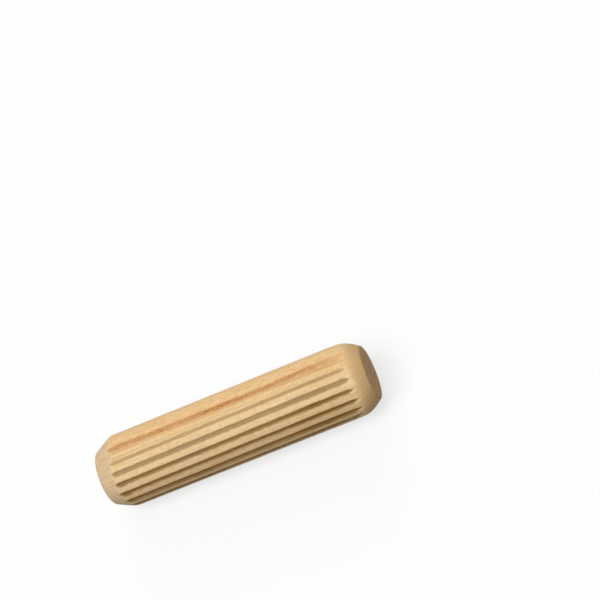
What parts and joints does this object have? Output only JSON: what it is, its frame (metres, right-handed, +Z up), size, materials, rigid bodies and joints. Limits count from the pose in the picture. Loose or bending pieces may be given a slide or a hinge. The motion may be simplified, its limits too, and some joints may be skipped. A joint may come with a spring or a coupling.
{
  "type": "dowel pin",
  "caption": "Straight wooden dowel pin with rounded flutes along its shank and a turned conical chamfer to a flat face at each end, for gluing two boards together.",
  "frame": {"origin": "on the surface that the pin lies on, under the middle of its length", "axes": "+X along the pin, +Z up, with the lowest flute facing straight down"},
  "size_m": [0.039, 0.01, 0.01],
  "materials": {
    "wood": "raw, fine-grained pale hardwood, matte"
  },
  "bodies": {
    "root": {"dowel_pin": "wood"}
  },
  "joints": []
}
